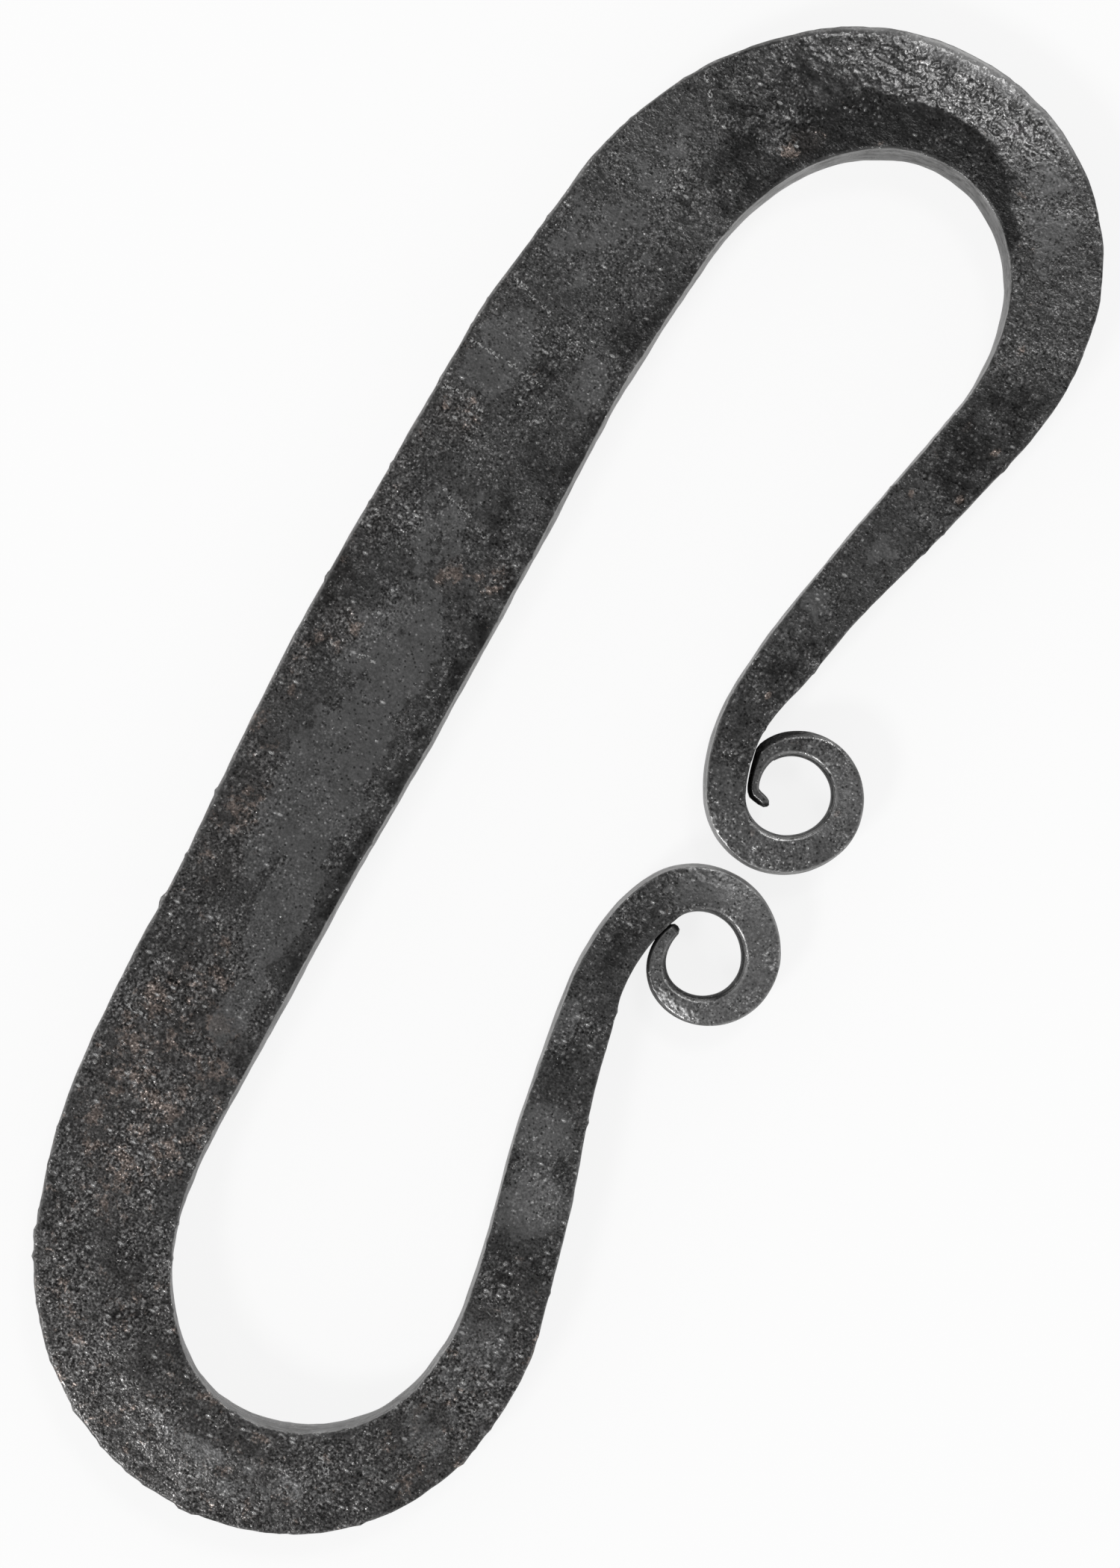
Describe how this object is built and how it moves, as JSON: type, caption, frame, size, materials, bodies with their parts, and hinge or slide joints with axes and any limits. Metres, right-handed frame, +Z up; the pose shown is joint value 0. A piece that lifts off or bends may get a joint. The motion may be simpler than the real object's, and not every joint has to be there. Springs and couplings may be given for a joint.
{
  "type": "fire steel",
  "caption": "C-shaped hand-forged fire steel: a flat striking bar bends through rounded bows into tapering arms that end in small scrolls; struck on flint to throw sparks.",
  "frame": {"origin": "centre of the bounding box in plan, on the surface that the steel lies on", "axes": "+Y along the striking bar towards the upper bow, +X from the striking edge towards the scrolls, +Z up out of the face that the picture shows"},
  "size_m": [0.0354, 0.1, 0.0045],
  "materials": {
    "forged_steel": "hand-forged, dark forge scale with smoother grey patches and a little rust"
  },
  "bodies": {
    "root": {"fire_steel": "forged_steel"}
  },
  "joints": []
}
